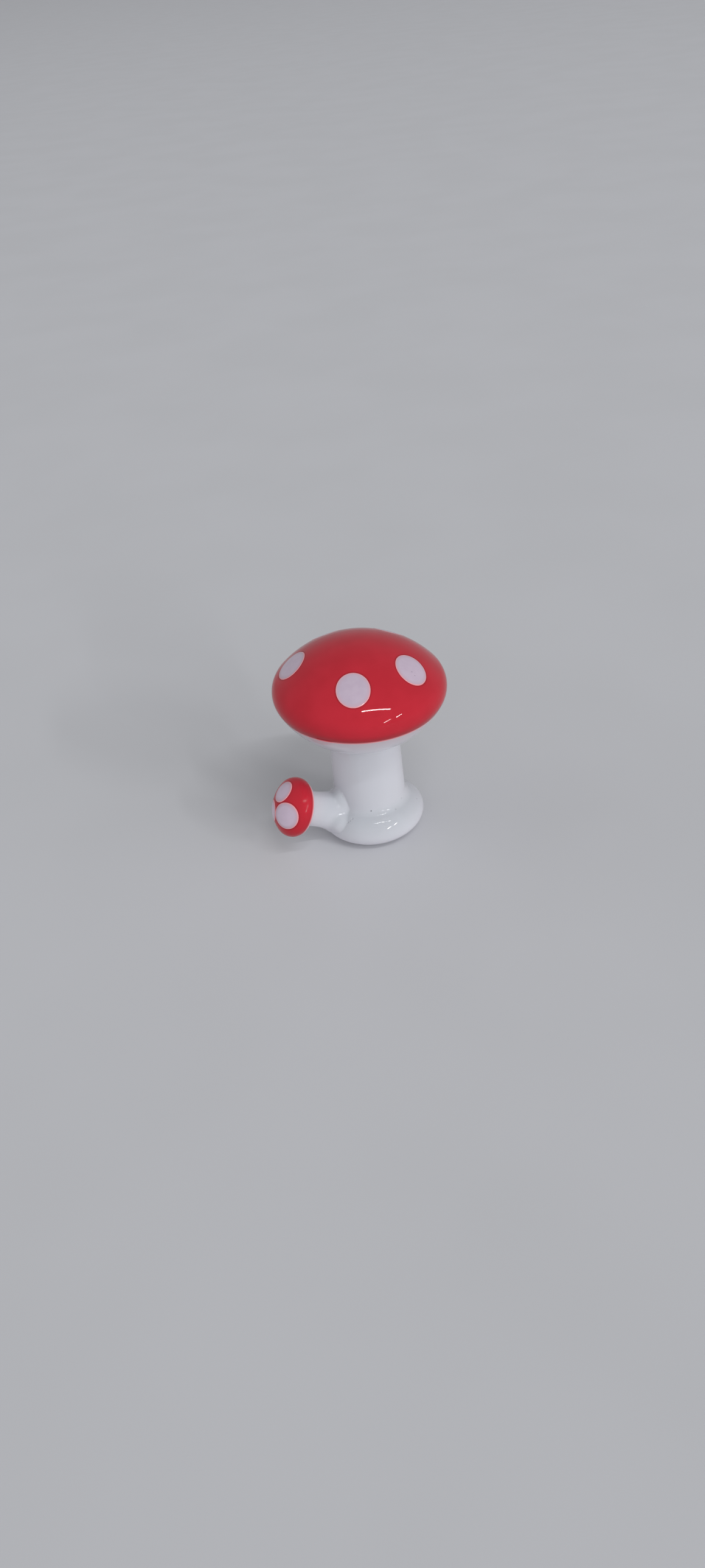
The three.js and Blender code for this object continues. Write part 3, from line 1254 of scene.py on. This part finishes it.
@dataclass
class Sprout:
    """The small mushroom's stem, whose root spreads onto the foot and climbs the big stem.

    A pad and a toe widen the root. Within the run of its border the glass relaxes, less so above
    the firm heights. Below the lip it is pressed into the body, and within the soft distance its
    normals turn into the body's.
    """

    root_height: float = 0.89
    turn: float = 203.0
    lift: float = 28.5
    bulb_reach: float = 3.9
    bulb_radius: float = 2.55
    bulb_round: float = 1.4
    bulb_start: float = -80.0
    taper: float = 3.3
    pinch: float = 0.85
    swell: float = 0.24
    ease: float = 0.58
    stem_radius: float = 1.77
    length: float = 5.67
    collar: float = 0.8
    painted_red_light_ends: Point = (-3.2, 1.6)
    thin_ends: Point = (4.6, 7.2)
    pad_turn: float = 210.0
    pad_out: float = 3.3
    pad_radius: float = 1.4
    pad_middle: float = 3.4
    pad_rise: float = 2.7
    toe: Triple = (-3.45, -2.95, 2.75)
    toe_radius: float = 1.15
    run: float = 0.7
    run_fade: float = 2.5
    run_passes: int = 110
    firm: float = 0.75
    firm_ends: Point = (2.9, 4.0)
    soft: float = 0.12
    lip: float = 0.015
    lip_swell: float = 2.0
    lip_swell_ends: Point = (1.0, 2.0)
    lip_fade: int = 4
    press: float = 0.04
    sink: float = 0.01
    tool_bottom: float = -1.0
    cap_dip: float = -0.05
    step: float = 0.12
    taper_steps: int = 26
    sides: int = 72
    drop_faces: tuple[int, int] = (64, 40)
    grain: float = 0.1
    passes: int = 16
    crease: float = 45.0

    @property
    def reach(self) -> float:
        """Distance along the axis to the small cap's widest ring."""
        return self.bulb_reach + self.length

    @property
    def placement(self) -> Matrix:
        """The sprout's frame, +Z along its axis.

        Returns:
            The frame's placement.
        """
        lean = Matrix.Rotation(math.radians(90 - self.lift), 4, "Y")
        swing = Matrix.Rotation(math.radians(self.turn), 4, "Z")
        return Matrix.Translation((0, 0, self.root_height)) @ swing @ lean

    def painted_red_light(self) -> Reach:
        """The stretch of stem over which painted pink light from the small cap's red grows in."""
        start, full = self.painted_red_light_ends
        return Reach.up(self.placement, self.reach + start, self.reach + full)

    def thin(self) -> Reach:
        """The stretch from the thick root to the thin stem, over which the stem's own, stronger
        painted glow grows in.
        """
        return Reach.up(self.placement, *self.thin_ends)

    def rings(self) -> list[Triple]:
        """Oval rings from the bulb's inner end to inside the small cap.

        Returns:
            Height and the two half widths of each ring.
        """
        end = self.bulb_reach + self.taper
        middle = (0.0, self.bulb_reach)
        curve = arc(middle, self.bulb_radius, self.bulb_round, self.bulb_start, 0, self.step)
        curve += bezier(
            (self.bulb_radius, self.bulb_reach),
            (self.bulb_radius, self.bulb_reach + self.taper * self.swell),
            (self.stem_radius, end - self.taper * self.ease),
            (self.stem_radius, end),
            self.taper_steps,
        )[1:]
        curve += [(self.stem_radius, end + self.collar), (self.stem_radius, self.reach)]
        rings = []
        for radius, height in curve:
            swelling = max(0.0, radius - self.stem_radius)
            rings.append((height, radius, radius - self.pinch * swelling))
        return rings

    def build(self, body: Body, big: Cap, small: Cap, finish: Material) -> None:
        """Draws the stem, melts its root into the body, and shapes both ends.

        Args:
            body: What the root sits on.
            big: The cap on the big stem.
            small: The sprout's own cap.
            finish: The opal glass.
        """
        rod = lofted(f"sprout_stem{GLASS}", self.rings(), self.sides)
        place(rod, self.placement)
        swing = Matrix.Rotation(math.radians(self.pad_turn), 4, "Z")
        climb = swing @ Matrix.Translation((self.pad_out, 0, self.pad_middle))
        pad = (self.pad_radius, self.pad_radius, self.pad_rise)
        cut(rod, self._drop(pad, climb), Cut.JOIN)
        cut(rod, self._drop((self.toe_radius,) * 3, Matrix.Translation(self.toe)), Cut.JOIN)
        bare = Skin(rod.data)
        mould = body.filled("body_skin", 0.0, 0.0, big)
        skin = Skin(mould.data)
        cut(rod, mould, Cut.JOIN)
        melt(rod, self.grain, self.passes)
        self._run(rod, bare, skin)
        cut(rod, body.filled("body_tool", self.sink, self.tool_bottom, big), Cut.REMOVE)
        inside = small.shape.outline(self.cap_dip, -90.0, 90.0, self.step)
        tool = turned("cap_tool", inside, self.sides)
        place(tool, small.placement)
        cut(rod, tool, Cut.REMOVE)
        normals = self._border(rod.data, skin)
        settle(rod, finish, self.crease)
        rod.data.normals_split_custom_set_from_vertices(normals)

    def _drop(self, radii: Triple, placement: Matrix) -> Piece:
        """Models a drop of glass that is added to the root.

        Args:
            radii: Its half widths.
            placement: Where it goes.

        Returns:
            The drop.
        """
        deselect()
        around, rings = self.drop_faces
        bpy.ops.mesh.primitive_uv_sphere_add(
            segments=around, ring_count=rings, radius=1.0, enter_editmode=True
        )
        bpy.ops.transform.resize(value=radii, center_override=(0, 0, 0))
        drop = close_mesh("drop")
        place(drop, placement)
        return drop

    def _run(self, rod: Piece, bare: Skin, skin: Skin) -> None:
        """Lets the glass run together along the root's border, and clears the rest of the body.

        Args:
            rod: The stem, joined to the body.
            bare: The stem's own surface.
            skin: The body's surface.
        """
        soft = rod.vertex_groups.new(name="soft")
        for point in rod.data.vertices:
            near = max(bare.away(point.co), abs(skin.height(point.co)))
            share = 1.0 - smooth(near, self.run, self.run_fade * self.run)
            share *= 1.0 - self.firm * smooth(point.co.z, *self.firm_ends)
            soft.add([point.index], share, "REPLACE")
        relax(rod, self.run_passes, soft.name)
        for point in rod.data.vertices:
            height = skin.height(point.co)
            swell = smooth(bare.away(point.co), *self.lip_swell_ends)
            low = self.lip * (1.0 + self.lip_swell * swell)
            if height < self.lip_fade * low:
                kept = smooth(height, low, self.lip_fade * low)
                point.co -= skin.normal(point.co) * (height + self.press) * (1.0 - kept)

    def _border(self, root: Mesh, skin: Skin) -> list[Vector]:
        """Normals that start as the body's own along the root's border, so that no crease shows.

        Args:
            root: The root's mesh.
            skin: The body's surface under it.

        Returns:
            A normal for each point, with no length where the point keeps its own.
        """
        normals = []
        for point in root.vertices:
            share = smooth(skin.away(point.co), 0.0, self.soft)
            normal = Vector()
            if share < 1.0:
                normal = skin.normal(point.co).lerp(point.normal, share).normalized()
            normals.append(normal)
        return normals


# Studio


@dataclass(frozen=True)
class Strip:
    """A thin lamp that faces the ornament."""

    name: str
    start: Triple
    end: Triple
    width: float
    radiance: float

    def add(self, target: Vector) -> None:
        """Adds the lamp, turned towards a target.

        Args:
            target: Where it shines.
        """
        start, end = Vector(self.start), Vector(self.end)
        middle = (start + end) / 2
        back = (middle - target).normalized()
        along = end - start
        along = (along - along.dot(back) * back).normalized()
        deselect()
        bpy.ops.object.light_add(type="AREA")
        lamp = bpy.context.object
        lamp.name = lamp.data.name = self.name
        lamp.data.shape = "RECTANGLE"
        lamp.data.size = (end - start).length
        lamp.data.size_y = self.width
        lamp.data.energy = self.radiance * math.pi * lamp.data.size * self.width
        turn = Matrix((along, back.cross(along), back)).transposed()
        lamp.matrix_world = Matrix.Translation(middle) @ turn.to_4x4()


@dataclass(frozen=True)
class Lobe:
    """A soft bright patch of the sky round one direction."""

    name: str
    direction: Triple
    strength: float


@dataclass
class Studio:
    """Pale floor, soft sky, three strip lamps and the camera."""

    floor: PaleFloor = field(default_factory=PaleFloor)
    base: float = 0.145
    level: Colour = (0.435, 0.443, 0.468)
    lobes: tuple[Lobe, ...] = (
        Lobe("front_low", (0.0, -0.97, 0.25), 1.15),
        Lobe("front_right_low", (0.68, -0.68, 0.25), 0.85),
        Lobe("front_right_high", (0.57, -0.57, 0.6), 0.5),
        Lobe("front_high", (0.0, -0.8, 0.6), 0.18),
        Lobe("left_high", (-0.8, 0.0, 0.6), 0.4),
        Lobe("left_low", (-0.97, 0.0, 0.25), 0.72),
        Lobe("right_low", (0.97, 0.0, 0.25), 0.28),
        Lobe("back_low", (0.0, 0.97, 0.25), 0.26),
    )
    strips: tuple[Strip, ...] = (
        Strip("long_strip", (0.03, -1.187, 1.95), (1.252, -1.09, 1.95), 0.04, 60.0),
        Strip("far_strip_a", (3.22, -3.15, 1.95), (3.07, -2.35, 1.95), 0.16, 60.0),
        Strip("far_strip_b", (3.1, -5.6, 1.95), (2.85, -4.3, 1.95), 0.16, 60.0),
    )
    eye: Triple = (-0.001707, -0.096566, 0.075175)
    right: Triple = (0.99336, -0.06762, -0.09307)
    down: Triple = (-0.11505, -0.58388, -0.80365)
    forward: Triple = (0.0, 0.80902, -0.58779)
    lens: float = 27.056
    sensor: float = 36.0
    clip: Point = (0.005, 60.0)
    target: Triple = (0.0, 0.0, 0.012)
    floor_sides: int = 96
    floor_radius: float = 14.0
    floor_inset: float = 4.0
    lobe_power: float = 6.0
    horizon: float = 0.12

    def build(self, effects: Effects) -> None:
        """Adds floor, light and camera.

        Args:
            effects: The shared effects.
        """
        self._floor(effects)
        self._sky()
        for strip in self.strips:
            strip.add(Vector(self.target))
        self._camera()

    def _floor(self, effects: Effects) -> None:
        """Lays the floor.

        Args:
            effects: The shared effects.
        """
        deselect()
        disc = {"vertices": self.floor_sides, "radius": self.floor_radius, "fill_type": "NGON"}
        bpy.ops.mesh.primitive_circle_add(enter_editmode=True, **disc)
        bpy.ops.mesh.inset(thickness=self.floor_inset)
        bpy.ops.object.mode_set(mode="OBJECT")
        floor = bpy.context.object
        floor.name = self.floor.name
        floor.data.materials.append(self.floor.material(effects))

    def _sky(self) -> None:
        """Lights softly, brightest low down on the viewer's side, and shows as a plain backdrop."""
        world = bpy.data.worlds.new("soft_sky")
        bpy.context.scene.world = world
        world.use_nodes = True
        board = Board(world.node_tree)
        look = board.add("TexCoord").outputs["Generated"]
        light: Any = self.base
        for lobe in self.lobes:
            direction = Vector(lobe.direction).normalized()
            sides = {0: look, 1: direction}
            facing = board.add("VectorMath", sides, operation="DOT_PRODUCT", label=lobe.name)
            near = board.maths("MAXIMUM", facing.outputs["Value"], 0.0)
            patch = board.maths("POWER", near, self.lobe_power)
            light = board.maths("ADD", light, board.maths("MULTIPLY", patch, lobe.strength))
        white = board.add("CombineColor", {0: light, 1: light, 2: light}).outputs[0]
        height = board.add("SeparateXYZ", {0: look}).outputs["Z"]
        colour = board.tint(board.fade(height, 0.0, self.horizon), self.level, white)
        path = board.add("LightPath").outputs
        seen = board.maths("MAXIMUM", path["Is Camera Ray"], path["Is Glossy Ray"])
        seen = board.maths("MAXIMUM", seen, path["Is Transmission Ray"])
        colour = board.tint(seen, colour, self.level)
        sky = board.add("Background", {"Color": colour, "Strength": 1.0})
        board.add("OutputWorld", {"Surface": sky.outputs[0]})

    def _camera(self) -> None:
        """Sets the camera at the photograph's place and angle."""
        deselect()
        bpy.ops.object.camera_add()
        camera = bpy.context.object
        camera.name = "camera"
        right, up, back = Vector(self.right), -Vector(self.down), -Vector(self.forward)
        turn = Matrix((right, up, back)).transposed()
        camera.matrix_world = Matrix.Translation(self.eye) @ turn.to_4x4()
        camera.data.sensor_fit = "AUTO"
        camera.data.sensor_width = self.sensor
        camera.data.lens = self.lens
        camera.data.clip_start, camera.data.clip_end = self.clip
        bpy.context.scene.camera = camera


BIG_CAP = CapShape(
    radius=8.4, rise=4.87, drop=5.94, rim=2.05,
    red_edge=29.5, wall=0.8, dot_depth=0.4, dot_proud=0.012,
)
SMALL_CAP = CapShape(
    radius=2.98, rise=1.87, drop=1.6, rim=1.1,
    red_edge=33.0, wall=0.5, dot_depth=0.28, dot_proud=0.03,
)
BIG_DOTS = (
    DotPlace(-98.0, 32.9, 1.68, long=1.06, short=0.947, twist=10.0),
    DotPlace(-32.6, 32.4, 1.68, long=1.065, short=0.925, twist=-33.0),
    DotPlace(54.0, 33.5, 1.68, long=1.05, short=0.95, twist=25.0),
    DotPlace(117.0, 34.0, 1.68, long=1.04, short=0.97, twist=-20.0),
    DotPlace(176.4, 36.5, 1.68, long=1.11, short=0.965, twist=84.0),
)
SMALL_DOTS = (
    DotPlace(75.6, 23.2, 1.38, long=1.10, short=0.965, twist=50.0),
    DotPlace(199.5, 22.4, 1.12, long=1.05, short=1.0, twist=-33.0),
    DotPlace(318.0, 24.0, 1.08),
)
CAP_HEIGHT = 16.4
CAP_LEAN = 2.0
CAP_PAINTED_RED_LIGHT = (-3.6, -0.4)
# Two small dark marks on the opal: a speck on the stem's front and a dark dot on the cap's
# underside.
SPECKS = (Mark((-0.18, -3.68, 4.15), 0.075), Mark((-3.74, -5.2, 13.13), 0.08))
DOT_SPECKS = (Mark((4.89, -3.39, 19.33), 0.055), Mark((5.12, -3.67, 19.08), 0.05))
ROOT_PIT = Mark((-2.6, -3.87, 3.21), 0.12)
PITS = (
    Mark((3.01, -2.08, 4.07), 0.09),
    Mark((4.61, -0.95, 2.99), 0.10),
    Mark((2.29, -3.22, 3.69), 0.09),
    ROOT_PIT,
    Mark((-2.4, -3.83, 3.3), 0.10),
    Mark((-2.13, -3.71, 3.48), 0.12),
)
SPROUT_PITS = (Mark((-2.73, -2.43, 5.87), 0.11), Mark((-2.86, -2.6, 5.5), 0.10), ROOT_PIT)


def main() -> None:
    """Builds the ornament and its studio."""
    logging.basicConfig(level=logging.INFO, format="%(name)s: %(message)s")
    bpy.context.scene.view_settings.view_transform = "Standard"
    effects = Effects()
    body, sprout = Body(), Sprout()
    tilt = Matrix.Rotation(math.radians(CAP_LEAN), 4, "Y")
    lean = Matrix.Translation((0, 0, CAP_HEIGHT)) @ tilt
    big = Cap("cap", BIG_CAP, BIG_DOTS, lean, step=0.12, sides=192, ring_height=CAP_HEIGHT)
    tip = sprout.placement @ Matrix.Translation((0, 0, sprout.reach))
    small = Cap("sprout_cap", SMALL_CAP, SMALL_DOTS, tip, step=0.06, sides=128)

    # Painted pink light on the underside, near the red.
    red_light_under_cap = Reach.up(lean, *CAP_PAINTED_RED_LIGHT)
    opal = OpalGlass(painted_red_lights=(red_light_under_cap,), specks=SPECKS, pits=PITS).material(effects)
    small_opal = OpalGlass(
        "opal_glass_sprout", thin=sprout.thin(), painted_red_lights=(sprout.painted_red_light(),), pits=SPROUT_PITS
    ).material(effects)
    dot = DotGlass(specks=DOT_SPECKS).material(effects)
    big_red = RedGlass("red_glass_cap", big.edge(), big.borders())
    small_red = RedGlass("red_glass_sprout", small.edge(), small.borders(), band=0.5)

    body.build(big, opal)
    big.build(opal, big_red.material(effects), dot)
    sprout.build(body, big, small, small_opal)
    small.build(small_opal, small_red.material(effects), dot)
    Studio().build(effects)


if __name__ == "__main__":
    main()
